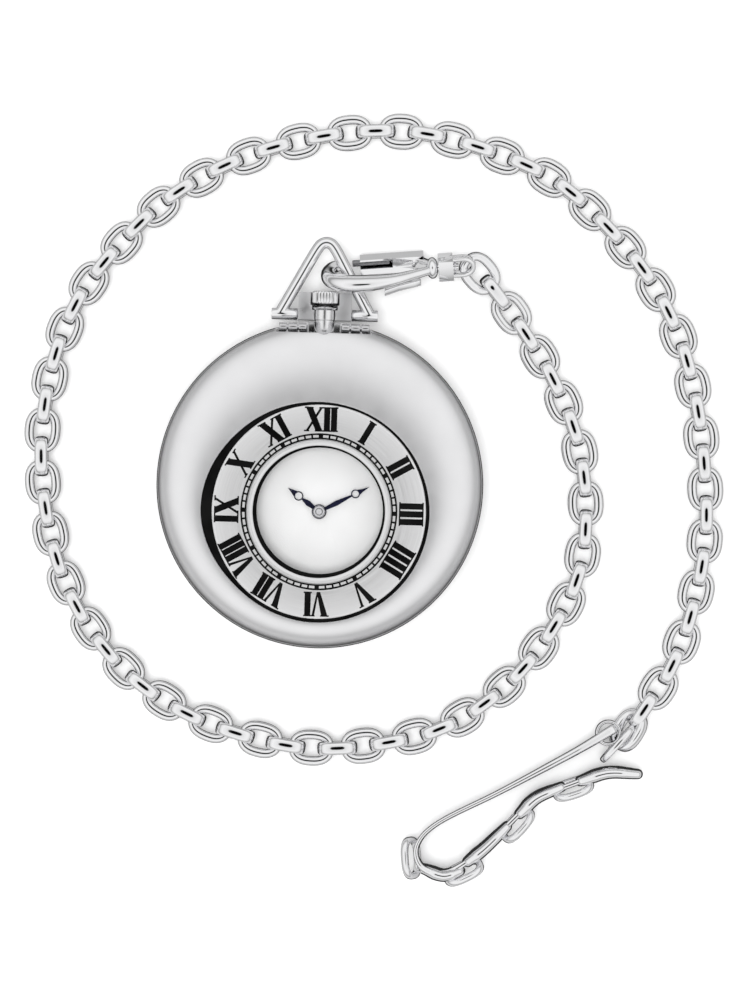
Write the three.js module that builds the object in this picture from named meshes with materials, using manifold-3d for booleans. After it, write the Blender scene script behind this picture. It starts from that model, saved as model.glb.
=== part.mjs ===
// Half-hunter pocket watch on a cable-link chain with a snap hook and a belt hook.
// Millimetres, +Z up. The watch lies on its back: the origin is the centre of the flat
// back face, +Y points to twelve o'clock and +Z out of the dial.
import * as THREE from 'three';
import { mergeVertices } from 'three/addons/utils/BufferGeometryUtils.js';
import Module from 'manifold-3d';

const wasm = await Module();
wasm.setup();

// ---- driving dimensions ------------------------------------------------------------
const CASE_RADIUS = 25;
const BACK_TOP = 4.45;
const BAND_BOTTOM = 4.7;
const BAND_TOP = 9.0;
const BAND_BORE = 22.6;
const LID_BOTTOM = 9.2;
const LID_RADIUS = 24.75;
const LID_RISE = 4.3;
const WINDOW_SHIFT = -4.1; // the window, dial centre and hands sit below the case centre
const RING_RADIUS = 16.64; // numeral ring on the lid
const RING_INNER = 11.0;
const RING_BOTTOM = 12.8;
const WINDOW_RADIUS = 9.6;
const LID_PLATE_TOP = 12.75;
const LID_PLATE_BOTTOM = 12.0;
const STEM_HEIGHT = 7.0; // axis of the stem, crown and pendant tube
const PLATE_BOTTOM = 5.4;
const PLATE_TOP = 6.3;
const DIAL_BOTTOM = 8.2;
const DIAL_TOP = 8.55;
const PENDANT_SLOT_BOTTOM = 5.4;
const LID_AXIS_Y = 24.1;
const LID_AXIS_Z = 9.1;
const KNUCKLE_RADIUS = 0.6;
const BOW_AXIS_Y = 26.1;
const BOW_AXIS_Z = 6.2;
const BOW_WIRE = 0.86;
const CLIP_CENTRE = [16.3, 33.75, 6.55]; // the ball of the swivel
const CLIP_TURN = 5.5 * Math.PI / 180; // plan direction of the snap hook's axis
const CLIP_ROLL = 117 * Math.PI / 180; // roll of the hook's own plane about that axis
const GATE_OFFSET = -3.6;
const TRIGGER_PIVOT = [-2.6, 0.85];
const SWIVEL_BORE = 0.62;
const HOOK_HALF = 1.1; // half thickness of the snap hook's body
const HOUR_HAND_ANGLE = 54 * Math.PI / 180;
const MINUTE_HAND_ANGLE = -62.3 * Math.PI / 180;
const WHEEL_TEETH = 24;
const PINION_TEETH = 8;
const HOUR_TEETH = 32;
const MOTION_MODULE = 0.18;
const HOUR_MODULE = MOTION_MODULE * (WHEEL_TEETH + PINION_TEETH) / (HOUR_TEETH + PINION_TEETH);
const TRAIN_MODULE = 0.19;
const TRAIN_DIRECTION = 200; // degrees, from the centre along the line of train wheels
const MOTION_DIRECTION = -50; // degrees, from the centre to the minute wheel
const ARBOR_RADIUS = 0.25;
const ARBOR_ENDS = [3.5, 5.3];
const ROTOR_LAYER = [4.4, 4.9]; // height of the rotor's magnet and of the stator around it
const BRIDGE_LAYER = [3.0, 3.45];
const BOARD_LAYER = [2.1, 2.5];
const COIL_HEIGHT = 4.5;
const COIL_DISTANCE = 11.3; // from the dial centre, beyond the rotor
const LUG_HALF = 4.07; // half width of the pendant block
const BARREL_START = LUG_HALF + 0.1; // inner end of the bow's barrels
const BARREL_END = 8.15;
const CHAIN_RADIUS = 2.7;
const CHAIN_HEIGHT = 2.75;
const BELT_HOOK_DEPTH = 7;

// ---- materials ---------------------------------------------------------------------
const finish = (color, roughness, metalness) =>
  new THREE.MeshStandardMaterial({ color, roughness, metalness });
const polishedSteel = () => finish(0xe6e7ea, 0.08, 1);
const satinSteel = () => finish(0xc9cacc, 0.34, 1);
const brass = () => finish(0xc9a867, 0.3, 1);
const blackSteel = () => finish(0x15161a, 0.22, 0.9);
const plastic = (color) => finish(color, 0.55, 0);
const rubber = () => plastic(0x1d1d1f);
const clearGlass = () => new THREE.MeshStandardMaterial({
  color: 0xf4f8fa, roughness: 0.02, metalness: 0, transparent: true, opacity: 0.25,
});

// ---- solids ------------------------------------------------------------------------
const WELD = 1e-4;

// One closed body: shared vertices merged, collapsed faces dropped, faces turned out.
function closed(geometry) {
  const bare = geometry.clone();
  bare.deleteAttribute('normal');
  bare.deleteAttribute('uv');
  const merged = mergeVertices(bare, WELD);
  const index = Array.from(merged.index.array);
  const position = merged.attributes.position;
  const kept = [];
  const a = new THREE.Vector3();
  const b = new THREE.Vector3();
  const c = new THREE.Vector3();
  let volume = 0;
  for (let i = 0; i < index.length; i += 3) {
    const [p, q, r] = index.slice(i, i + 3);
    if (p === q || q === r || r === p) continue;
    kept.push(p, q, r);
    a.fromBufferAttribute(position, p);
    b.fromBufferAttribute(position, q);
    c.fromBufferAttribute(position, r);
    volume += a.dot(b.cross(c));
  }
  if (volume < 0) kept.reverse();
  merged.setIndex(kept);
  return merged;
}

function solid(geometry) {
  const body = closed(geometry);
  return new wasm.Manifold(new wasm.Mesh({
    numProp: 3,
    vertProperties: new Float32Array(body.attributes.position.array),
    triVerts: new Uint32Array(body.index.array),
  }));
}

function geometryOf(manifold) {
  const mesh = manifold.getMesh();
  const geometry = new THREE.BufferGeometry();
  geometry.setAttribute('position', new THREE.BufferAttribute(mesh.vertProperties, 3));
  geometry.setIndex(Array.from(mesh.triVerts));
  return geometry;
}

function cut(geometry, ...tools) {
  return geometryOf(tools.reduce((body, tool) => body.subtract(solid(tool)), solid(geometry)));
}

function join(...geometries) {
  const [first, ...rest] = geometries.map(solid);
  return geometryOf(rest.reduce((body, other) => body.add(other), first));
}

function block([x0, x1], [y0, y1], [z0, z1]) {
  const box = new THREE.BoxGeometry(x1 - x0, y1 - y0, z1 - z0);
  return box.translate((x0 + x1) / 2, (y0 + y1) / 2, (z0 + z1) / 2);
}

// Solid of revolution about Z; the profile lists [radius, height] and is closed here
// unless it starts and ends on the axis.
function turned(profile, segments = 48) {
  const points = profile.map(([r, z]) => new THREE.Vector2(r, z));
  if (profile[0][0] > 0) points.push(points[0].clone());
  return new THREE.LatheGeometry(points, segments).rotateX(Math.PI / 2);
}

function disc(radius, z0, z1, [x, y] = [0, 0], segments = 48) {
  return turned([[0, z0], [radius, z0], [radius, z1], [0, z1]], segments).translate(x, y, 0);
}

function washer(inner, outer, z0, z1, [x, y] = [0, 0], segments = 48) {
  const profile = [[inner, z0], [outer, z0], [outer, z1], [inner, z1]];
  return turned(profile, segments).translate(x, y, 0);
}

// A Z-axis solid laid along Y, its height measured along +Y, its axis at (x, z).
const alongY = (geometry, x, z) =>
  geometry.rotateX(-Math.PI / 2).rotateY(Math.PI).translate(x, 0, z);
// A Z-axis solid laid along X, its height measured along +X, its axis at (y, z).
const alongX = (geometry, y, z) => geometry.rotateY(Math.PI / 2).translate(0, y, z);

// The same |x| range right and left of the middle, and the names of those sides.
const SIDE_NAMES = ['right', 'left'];
const bothSides = ([near, far]) => [[near, far], [-far, -near]];

function prism(outline, z0, z1) {
  const shape = new THREE.Shape(outline.map(([x, y]) => new THREE.Vector2(x, y)));
  const settings = { depth: z1 - z0, bevelEnabled: false };
  return new THREE.ExtrudeGeometry(shape, settings).translate(0, 0, z0);
}

// Round bar swept along a smooth curve through the points.
function bar(points, radius, sides, steps) {
  const path = new THREE.CatmullRomCurve3(points.map((p) => new THREE.Vector3(...p)));
  const section = new THREE.Shape();
  for (let i = 0; i < sides; i += 1) {
    const angle = 2 * Math.PI * (i + 0.5) / sides;
    const corner = [radius * Math.cos(angle), radius * Math.sin(angle)];
    if (i === 0) section.moveTo(...corner);
    else section.lineTo(...corner);
  }
  return new THREE.ExtrudeGeometry(section, { steps, extrudePath: path, bevelEnabled: false });
}

// Flat band that follows a plan curve, standing from z0 to z1; halves are half widths.
function ribbon(points, halves, steps, z0, z1) {
  const path = new THREE.SplineCurve(points.map(([x, y]) => new THREE.Vector2(x, y)));
  const left = [];
  const right = [];
  for (let i = 0; i <= steps; i += 1) {
    const t = i / steps;
    const centre = path.getPoint(t);
    const tangent = path.getTangent(t);
    const place = t * (halves.length - 1);
    const low = Math.min(Math.floor(place), halves.length - 2);
    const half = THREE.MathUtils.lerp(halves[low], halves[low + 1], place - low);
    left.push([centre.x - tangent.y * half, centre.y + tangent.x * half]);
    right.push([centre.x + tangent.y * half, centre.y - tangent.x * half]);
  }
  return prism([...left, ...right.reverse()], z0, z1);
}

// Spur wheel with straight-sided teeth and backlash; one tooth points along facing, in
// degrees, or the gap beside it does.
function gear(teeth, module, [z0, z1], facing, showsGap = false) {
  const pitch = teeth * module / 2;
  const tip = pitch + 0.85 * module;
  const root = pitch - 1.1 * module;
  const step = 2 * Math.PI / teeth;
  const outline = [];
  for (let i = 0; i < teeth; i += 1) {
    const middle = facing * Math.PI / 180 + (showsGap ? i + 0.5 : i) * step;
    for (const [radius, offset] of [[root, -0.23], [tip, -0.08], [tip, 0.08], [root, 0.23]]) {
      const angle = middle + offset * step;
      outline.push([radius * Math.cos(angle), radius * Math.sin(angle)]);
    }
  }
  return prism(outline, z0, z1);
}

// ---- scene -------------------------------------------------------------------------
const group = new THREE.Group();
const dialCentre = [0, WINDOW_SHIFT];

function piece(name, geometry, material, parent = group) {
  const mesh = new THREE.Mesh(geometry, material);
  mesh.name = name;
  parent.add(mesh);
  return mesh;
}

// ---- case --------------------------------------------------------------------------
const ABOVE = 20; // height that clears the whole watch, for cutting tools

const pendantSlot = (radius, tip) => join(
  disc(radius, PENDANT_SLOT_BOTTOM, ABOVE, [0, tip + radius], 24),
  block([-radius, radius], [tip + radius, CASE_RADIUS + 3], [PENDANT_SLOT_BOTTOM, ABOVE]),
);

function backCover() {
  return turned([
    [0, 0], [12.8, 0], [16.5, 0.45], [20.5, 1.8], [23.2, 3.4], [24.75, BACK_TOP],
    [22.9, BACK_TOP], [20.0, 2.7], [16.2, 1.35], [12.5, 0.85], [0, 0.85],
  ]);
}

function caseBand() {
  const band = turned([
    [BAND_BORE, BAND_BOTTOM], [24.7, BAND_BOTTOM], [CASE_RADIUS, 5.4], [CASE_RADIUS, 8.3],
    [24.8, BAND_TOP], [BAND_BORE, BAND_TOP],
  ]);
  const stemHole = alongY(disc(0.95, 20, 26, [0, 0], 20), 0, STEM_HEIGHT);
  const relief = bothSides([2.5, 7.1]).map((range) => block(
    range, [LID_AXIS_Y - 0.85, CASE_RADIUS + 1], [LID_AXIS_Z - 0.85, ABOVE],
  ));
  const body = cut(band, stemHole, pendantSlot(1.5, 23.2), ...relief);
  return join(body, ...knuckles(CASE_KNUCKLES, caseFoot));
}

// Hinge barrels between the lid and the band, on one axis along X, two short hinges
// left and right of the pendant. Each entry is an |x| range.
const CASE_KNUCKLES = [[2.7, 3.9], [5.7, 6.9]];
const LID_KNUCKLES = [[4.1, 5.5]];

const caseFoot = (range) =>
  block(range, [LID_AXIS_Y - 0.95, LID_AXIS_Y + 0.3], [8.0, LID_AXIS_Z]);
const lidFoot = (range) =>
  block(range, [LID_AXIS_Y - 1.3, LID_AXIS_Y], [LID_AXIS_Z + 0.1, LID_AXIS_Z + 0.6]);

function knuckles(ranges, foot) {
  return ranges.flatMap(bothSides).map(([x0, x1]) => {
    const barrel = alongX(disc(KNUCKLE_RADIUS, x0, x1, [0, 0], 16), LID_AXIS_Y, LID_AXIS_Z);
    const bore = alongX(disc(0.32, x0 - 1, x1 + 1, [0, 0], 12), LID_AXIS_Y, LID_AXIS_Z);
    return cut(join(barrel, foot([x0, x1])), bore);
  });
}

function movementRing() {
  const slot = block([-0.7, 0.7], [6, 24], [STEM_HEIGHT - 0.75, 9]);
  return cut(disc(22.3, 5.2, 8.1, [0, 0], 36), disc(13.3, 5, 9, dialCentre, 36), slot);
}

function innerBezel() {
  return turned([
    [19.2, 9.05], [22.3, 9.05], [22.3, 9.6], [20.6, 11.0], [20.0, 11.0], [20.0, 10.35], [19.2, 10.35],
  ], 36);
}

function addCase() {
  piece('back_cover', backCover(), polishedSteel());
  const gasket = washer(23.1, 23.6, BACK_TOP + 0.02, BAND_BOTTOM - 0.02, [0, 0], 32);
  piece('back_gasket', gasket, rubber());
  piece('case_band', caseBand(), polishedSteel());
  piece('movement_ring', movementRing(), plastic(0xe9e6dd));
  piece('inner_bezel', innerBezel(), polishedSteel());
  piece('inner_crystal', disc(19.85, 10.4, 10.95, [0, 0], 36), clearGlass());
  piece('lid_catch', block([-2.4, 2.4], [-23.3, -22.6], [9.05, 10.3]), satinSteel());
  bothSides([2.75, 6.85]).forEach(([x0, x1], i) => {
    const pin = alongX(disc(0.25, x0, x1, [0, 0], 12), LID_AXIS_Y, LID_AXIS_Z);
    piece(`lid_hinge_pin_${SIDE_NAMES[i]}`, pin, satinSteel());
  });
}

// ---- lid ---------------------------------------------------------------------------
// Ring-shaped loft whose sections are circles with their own radius, height and centre.
function eccentricRing(sections, segments) {
  const position = [];
  const index = [];
  const count = sections.length;
  for (const [radius, z, centreY] of sections) {
    for (let i = 0; i < segments; i += 1) {
      const angle = 2 * Math.PI * i / segments;
      position.push(radius * Math.cos(angle), centreY + radius * Math.sin(angle), z);
    }
  }
  for (let s = 0; s < count; s += 1) {
    for (let i = 0; i < segments; i += 1) {
      const a = s * segments + i;
      const b = s * segments + (i + 1) % segments;
      const c = ((s + 1) % count) * segments + i;
      const d = ((s + 1) % count) * segments + (i + 1) % segments;
      index.push(a, b, c, b, d, c);
    }
  }
  const geometry = new THREE.BufferGeometry();
  geometry.setAttribute('position', new THREE.Float32BufferAttribute(position, 3));
  geometry.setIndex(index);
  return geometry;
}

function lidSections() {
  const outer = [];
  const inner = [];
  for (let i = 0; i <= 7; i += 1) {
    const s = 1 - Math.cos(i / 7 * Math.PI / 2);
    const rise = LID_RISE * Math.sqrt(1 - (1 - s) ** 2);
    outer.push([LID_RADIUS - 7.35 * s, LID_BOTTOM + rise, WINDOW_SHIFT * s]);
  }
  for (let i = 4; i >= 0; i -= 1) {
    const s = (i / 4) ** 1.5;
    const rise = (LID_PLATE_BOTTOM - LID_BOTTOM) * Math.sqrt(1 - (1 - s) ** 3);
    inner.push([23.75 - 6.9 * s, LID_BOTTOM + rise, WINDOW_SHIFT * s]);
  }
  const c = WINDOW_SHIFT;
  const ledge = 12.3;
  const seat = [
    [17.3, LID_PLATE_TOP, c], [10.55, LID_PLATE_TOP, c], [10.55, ledge, c], [9.9, ledge, c],
    [9.9, LID_PLATE_BOTTOM, c],
  ];
  return [...outer, ...seat, ...inner];
}

function lidShell() {
  const hingeFlat = block([-7.3, 7.3], [LID_AXIS_Y - 0.9, 27], [LID_BOTTOM - 1, ABOVE]);
  const shell = cut(eccentricRing(lidSections(), 44), hingeFlat, pendantSlot(1.65, 22.95));
  return join(shell, ...knuckles(LID_KNUCKLES, lidFoot));
}

function addLid() {
  piece('lid', lidShell(), polishedSteel());
  piece('lid_crystal', disc(10.35, 12.35, 12.75, dialCentre, 36), clearGlass());
  const ring = washer(RING_INNER + 0.05, RING_RADIUS, RING_BOTTOM, 13.35, dialCentre, 44);
  piece('numeral_ring', ring, satinSteel());
  const bezel = turned([
    [WINDOW_RADIUS, RING_BOTTOM], [RING_INNER - 0.05, RING_BOTTOM], [RING_INNER - 0.05, 13.4],
    [10.4, 13.4], [WINDOW_RADIUS, 13.0],
  ], 36).translate(0, WINDOW_SHIFT, 0);
  piece('window_bezel', bezel, polishedSteel());
}

// ---- dial and hands ----------------------------------------------------------------
// Flat hand pointing along +Y from its boss: slim blade, a ring on it, then the tip.
function hand(bossOuter, bossBore, ringAt, ringRadius, tip, z0, z1) {
  const blade = prism([[-0.3, 0.4], [0.3, 0.4], [0.16, ringAt], [-0.16, ringAt]], z0, z1);
  const pointer = prism([[-0.28, ringAt], [0.28, ringAt], [0.05, tip], [-0.05, tip]], z0, z1);
  const boss = disc(bossOuter, z0, z1, [0, 0], 24);
  const ring = disc(ringRadius, z0, z1, [0, ringAt], 20);
  const bossHole = disc(bossBore, z0 - 1, z1 + 1, [0, 0], 20);
  const ringHole = disc(ringRadius - 0.28, z0 - 1, z1 + 1, [0, ringAt], 16);
  return cut(join(boss, blade, pointer, ring), bossHole, ringHole);
}

function addHand(name, geometry, angle) {
  const mesh = piece(name, geometry, blackSteel());
  mesh.position.set(0, WINDOW_SHIFT, 0);
  mesh.rotation.z = angle;
}

function addDialAndHands() {
  const dial = cut(disc(21.8, DIAL_BOTTOM, DIAL_TOP, [0, 0], 40), disc(1.0, 8, 9, dialCentre, 24));
  piece('dial', dial, finish(0xf4f4f2, 0.5, 0));
  addHand('hour_hand', hand(1.15, 0.8, 3.95, 0.7, 6.0, 9.05, 9.25), HOUR_HAND_ANGLE);
  addHand('minute_hand', hand(0.85, 0.47, 6.2, 0.65, 8.6, 9.45, 9.65), MINUTE_HAND_ANGLE);
  piece('hand_cap', turned([[0, 9.8], [0.95, 9.8], [0.8, 10.05], [0, 10.15]], 24)
    .translate(0, WINDOW_SHIFT, 0), polishedSteel());
}

// ---- movement ----------------------------------------------------------------------
const polar = (radius, degrees) => [
  radius * Math.cos(degrees * Math.PI / 180),
  WINDOW_SHIFT + radius * Math.sin(degrees * Math.PI / 180),
];
const TRAIN_STEP = TRAIN_MODULE * (WHEEL_TEETH + PINION_TEETH) / 2;
const TRAIN_ANGLE = TRAIN_DIRECTION * Math.PI / 180;
const thirdCentre = polar(TRAIN_STEP, TRAIN_DIRECTION);
const intermediateCentre = polar(2 * TRAIN_STEP, TRAIN_DIRECTION);
const rotorCentre = polar(3 * TRAIN_STEP, TRAIN_DIRECTION);
const minuteWheelCentre = polar(MOTION_MODULE * (WHEEL_TEETH + PINION_TEETH) / 2, MOTION_DIRECTION);
const batteryCentre = polar(7.4, 15);

function mainPlate() {
  const plate = disc(13.0, PLATE_BOTTOM, PLATE_TOP, dialCentre, 36);
  const post = disc(0.2, PLATE_TOP - 0.2, 8.0, minuteWheelCentre, 12);
  return join(cut(plate, disc(0.8, 5, 7, dialCentre, 24)), post);
}

// Screw places in the train's own frame: along the line of wheels, then across it.
const BRIDGE_SCREWS = [[-0.9, 3.1], [4.56, 2.9], [4.56, -2.9]];

function trainBridge() {
  const length = 3 * TRAIN_STEP;
  const bridge = join(
    block([-2, length + 1], [-3.5, 3.5], BRIDGE_LAYER),
    disc(3.5, ...BRIDGE_LAYER, [-2, 0], 24),
  );
  const holes = BRIDGE_SCREWS.map((at) => disc(0.4, 2, 5, at, 12));
  const placed = cut(bridge, ...holes).rotateZ(TRAIN_ANGLE).translate(0, WINDOW_SHIFT, 0);
  return cut(placed, disc(3.7, 2, 6, batteryCentre, 32));
}

function bridgeScrew(alongTrain, acrossTrain) {
  const screw = turned([[0, 2.6], [0.6, 2.6], [0.6, 2.95], [0.35, 2.95], [0.35, 5.3], [0, 5.3]], 16);
  const placed = screw.translate(alongTrain, acrossTrain, 0).rotateZ(TRAIN_ANGLE);
  return placed.translate(0, WINDOW_SHIFT, 0);
}

function stator() {
  const plate = join(
    block([-2.0, 1.3], [-1.7, 1.7], ROTOR_LAYER),
    block([0.6, 1.3], [-4.2, 4.2], ROTOR_LAYER),
  );
  const rotorHole = disc(1.3, 4, 5, [0, 0], 24);
  return cut(plate, rotorHole).rotateZ(TRAIN_ANGLE).translate(...rotorCentre, 0);
}

function circuitBoard() {
  const board = disc(12.4, ...BOARD_LAYER, dialCentre, 48);
  const trainRoom = block([-14, 14], [WINDOW_SHIFT - 2.5, 12], [1, 4]);
  return cut(board, trainRoom, disc(4.2, 1, 4, batteryCentre, 32));
}

// Wheel and pinion of the going train on one arbor, the wheel driven from the far side.
function trainWheel(wheelZ, pinionZ) {
  return join(
    gear(WHEEL_TEETH, TRAIN_MODULE, wheelZ, TRAIN_DIRECTION, true),
    gear(PINION_TEETH, TRAIN_MODULE, pinionZ, TRAIN_DIRECTION + 180),
    disc(ARBOR_RADIUS, ...ARBOR_ENDS, [0, 0], 10),
  );
}

function rotor() {
  return join(
    disc(1.1, ...ROTOR_LAYER, [0, 0], 16),
    gear(PINION_TEETH, TRAIN_MODULE, [3.5, 3.85], TRAIN_DIRECTION + 180),
    disc(ARBOR_RADIUS, ...ARBOR_ENDS, [0, 0], 10),
  );
}

function cannonPinion() {
  return join(
    gear(WHEEL_TEETH, TRAIN_MODULE, [4.65, 5.05], TRAIN_DIRECTION, true),
    disc(ARBOR_RADIUS, 3.55, 4.7, [0, 0], 10),
    disc(0.6, 5.0, 6.6, [0, 0], 16),
    gear(PINION_TEETH, MOTION_MODULE, [6.55, 7.1], MOTION_DIRECTION, true),
    disc(0.42, 7.0, 9.75, [0, 0], 16),
  );
}

function minuteWheel() {
  const toCentre = MOTION_DIRECTION + 180;
  return cut(join(
    gear(WHEEL_TEETH, MOTION_MODULE, [6.65, 7.05], toCentre),
    gear(PINION_TEETH, HOUR_MODULE, [7.05, 7.7], toCentre),
  ), disc(0.26, 6, 9, [0, 0], 10));
}

function hourWheel() {
  return cut(join(
    gear(HOUR_TEETH, HOUR_MODULE, [7.25, 7.65], MOTION_DIRECTION, true),
    disc(0.74, 7.25, 9.35, [0, 0], 20),
  ), disc(0.5, 6, 10, [0, 0], 16));
}

function addTrain() {
  for (const [name, geometry, centre] of [
    ['intermediate_wheel', trainWheel([3.5, 3.8], [3.85, 4.4]), intermediateCentre],
    ['third_wheel', trainWheel([3.95, 4.35], [4.6, 5.1]), thirdCentre],
    ['cannon_pinion', cannonPinion(), dialCentre],
    ['minute_wheel', minuteWheel(), minuteWheelCentre],
    ['hour_wheel', hourWheel(), dialCentre],
  ]) {
    piece(name, geometry, brass()).position.set(...centre, 0);
  }
  piece('rotor', rotor(), finish(0x8d8f94, 0.4, 0.8)).position.set(...rotorCentre, 0);
}

function addMovement() {
  piece('main_plate', mainPlate(), satinSteel());
  addTrain();
  piece('train_bridge', trainBridge(), satinSteel());
  BRIDGE_SCREWS.forEach(([along, across], i) => {
    piece(`bridge_screw_${i + 1}`, bridgeScrew(along, across), satinSteel());
  });
  piece('stator', stator(), satinSteel());
  const inTrainFrame = (geometry) => geometry.rotateZ(TRAIN_ANGLE).translate(0, WINDOW_SHIFT, 0);
  const coil = alongY(washer(0.3, 0.8, -3.3, 3.3, [0, 0], 20), COIL_DISTANCE, COIL_HEIGHT);
  piece('coil', inTrainFrame(coil), finish(0xb56a3a, 0.35, 0.8));
  const core = alongY(disc(0.25, -4.0, 4.0, [0, 0], 12), COIL_DISTANCE, COIL_HEIGHT);
  piece('coil_core', inTrainFrame(core), satinSteel());
  piece('circuit_board', circuitBoard(), plastic(0x2f5d3a));
  piece('control_chip', block([-2.4, 0.2], [-12.6, -10.4], [2.55, 3.1]), plastic(0x141416));
  const crystal = alongX(disc(0.7, 2.5, 7.5, [0, 0], 16), -13.2, 3.3);
  piece('timing_crystal', crystal, satinSteel());
  piece('battery', disc(3.4, 2.5, 5.0, batteryCentre, 32), polishedSteel());
  const [bx, by] = batteryCentre;
  piece('battery_clamp', block([bx - 1, bx + 4.6], [by - 1.2, by + 1.2], [2.1, 2.4]), brass());
}

// ---- pendant, crown and bow ----------------------------------------------------------
function pendantTube() {
  return alongY(turned([
    [0.6, 22.4], [0.85, 22.4], [0.85, 23.5], [1.1, 23.8], [1.22, 24.4], [1.22, 25.35], [1.52, 25.35],
    [1.52, 26.8], [1.88, 27.1], [1.3, 27.45], [0.6, 27.45],
  ], 20), 0, STEM_HEIGHT);
}

function pendantBlock() {
  const lug = block([-LUG_HALF, LUG_HALF], [25.25, 29.5], [4.3, 7.4]);
  const crownRoom = alongY(disc(2.25, 26.6, 31, [0, 0], 32), 0, STEM_HEIGHT);
  const tubeRoom = alongY(disc(1.62, 24, 27, [0, 0], 28), 0, STEM_HEIGHT);
  const screwBores = bothSides([2.35, 5]).map(([x0, x1]) =>
    alongX(disc(0.45, x0, x1, [0, 0], 16), BOW_AXIS_Y, BOW_AXIS_Z));
  return cut(lug, crownRoom, tubeRoom, ...screwBores);
}

function bowScrew(turn) {
  const screw = alongX(turned([
    [0, 2.45], [0.4, 2.45], [0.4, 7.65], [0.62, 7.65], [0.62, 8.1], [0, 8.1],
  ], 16), 0, 0);
  return screw.rotateY(turn).translate(0, BOW_AXIS_Y, BOW_AXIS_Z);
}

function bow() {
  const y = BOW_AXIS_Y;
  const leg = [[6.94, y], [5.58, y + 2.5], [3.67, y + 6], [2.25, y + 8.6], [1.38, y + 10.1]];
  const left = leg.map(([x, py]) => [-x, py, BOW_AXIS_Z]);
  const right = leg.map(([x, py]) => [x, py, BOW_AXIS_Z]).reverse();
  const apex = [[-0.75, y + 10.85, BOW_AXIS_Z], [0, y + 11.1, BOW_AXIS_Z], [0.75, y + 10.85, BOW_AXIS_Z]];
  const wire = bar([...left, ...apex, ...right], BOW_WIRE, 10, 24);
  const onAxis = (radius, range) => bothSides(range).map(([x0, x1]) =>
    alongX(disc(radius, x0, x1, [0, 0], 16), y, BOW_AXIS_Z));
  const barrels = onAxis(BOW_WIRE, [BARREL_START, BARREL_END]);
  const bores = onAxis(0.5, [4, 9]);
  const heads = onAxis(0.7, [7.55, 9]);
  const ends = bothSides([BARREL_END, 10]).map((range) => block(range, [y - 2, y + 2], [4, 9]));
  const under = bothSides([BARREL_START, 9]).map((range) =>
    block(range, [y - 2, y - BOW_WIRE], [4, 9]));
  return cut(join(wire, ...barrels), ...bores, ...heads, ...ends, ...under);
}

function crown() {
  const flutes = 22;
  const outline = [];
  for (let i = 0; i < flutes * 2; i += 1) {
    const radius = i % 2 ? 1.97 : 1.8;
    const angle = Math.PI * i / flutes;
    outline.push([radius * Math.cos(angle), radius * Math.sin(angle)]);
  }
  const knob = prism(outline, 27.95, 29.7);
  return alongY(cut(knob, disc(0.45, 27, 29.2, [0, 0], 16)), 0, STEM_HEIGHT);
}

function addPendant() {
  piece('pendant_tube', pendantTube(), polishedSteel());
  piece('pendant_block', pendantBlock(), satinSteel());
  [0, Math.PI].forEach((turn, i) => {
    piece(`bow_screw_${SIDE_NAMES[i]}`, bowScrew(turn), satinSteel());
  });
  const gasket = alongY(washer(0.62, 1.0, 27.5, 27.75, [0, 0], 20), 0, STEM_HEIGHT);
  piece('crown_gasket', gasket, rubber());
  piece('crown', crown(), polishedSteel());
  piece('winding_stem', alongY(disc(0.38, 5.2, 29.15, [0, 0], 16), 0, STEM_HEIGHT), satinSteel());
  piece('bow', bow(), polishedSteel());
}

// ---- snap hook -----------------------------------------------------------------------
// The hook's own frame: +X towards the chain, +Y across the eye, the bow's wire passes at
// y = 0. The clip group stands at the swivel's ball.
function hookBody() {
  const arm = bar([
    [-0.6, 0.3, 0], [-3.0, 1.3, 0], [-6.0, 2.6, 0], [-9.5, 3.3, 0], [-13.0, 3.2, 0],
    [-15.4, 1.9, 0], [-16.0, -0.4, 0], [-15.3, -2.5, 0], [-13.7, -3.55, 0],
  ], HOOK_HALF, 8, 20);
  const plate = (outline) => prism(outline, -HOOK_HALF, HOOK_HALF);
  const housing = block([-10.6, -1.6], [-4.7, -2.6], [-HOOK_HALF, HOOK_HALF]);
  const shoulder = plate([[-3.6, -2.7], [-0.5, -0.8], [-0.5, 1.0], [-2.4, 1.2], [-3.6, 1.6]]);
  const heel = plate([[-3.7, -4.7], [-1.6, -4.7], [-0.5, -0.8], [-3.7, -2.5]]);
  const ball = turned([
    [0, -0.75], [0.95, -0.6], [1.45, -0.25], [1.5, 0], [1.45, 0.25], [0.95, 0.6], [0, 0.75],
  ], 20).rotateY(Math.PI / 2);
  const stem = alongX(disc(0.55, 0.4, 4.0, [0, 0], 16), 0, 0);
  const triggerStud = disc(0.25, 0.9, 2.25, TRIGGER_PIVOT, 12);
  const boltSlot = block([-10.2, -3.2], [-5, -2.3], [-0.62, 0.62]);
  const boltHole = alongX(disc(0.62, -11, -10, [0, 0], 16), GATE_OFFSET, 0);
  const springHole = alongX(disc(0.34, -3.3, -2.6, [0, 0], 12), GATE_OFFSET, 0);
  const solidBody = join(arm, housing, shoulder, ball, stem, heel, triggerStud);
  return cut(solidBody, boltSlot, boltHole, springHole);
}

function hookBolt() {
  const rod = alongX(disc(0.5, -12.2, -6.4, [0, 0], 16), GATE_OFFSET, 0);
  const bore = alongX(disc(0.34, -11.0, -6, [0, 0], 12), GATE_OFFSET, 0);
  return cut(rod, bore);
}

function hookTrigger() {
  const lever = prism([
    [-7.5, 4.0], [-7.3, 2.0], [-2.9, 0.1], [-1.9, 0.3], [-1.9, 1.1], [-2.8, 1.5],
  ], 1.3, 2.05);
  return cut(lever, disc(0.32, 0, 3, TRIGGER_PIVOT, 12));
}

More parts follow.
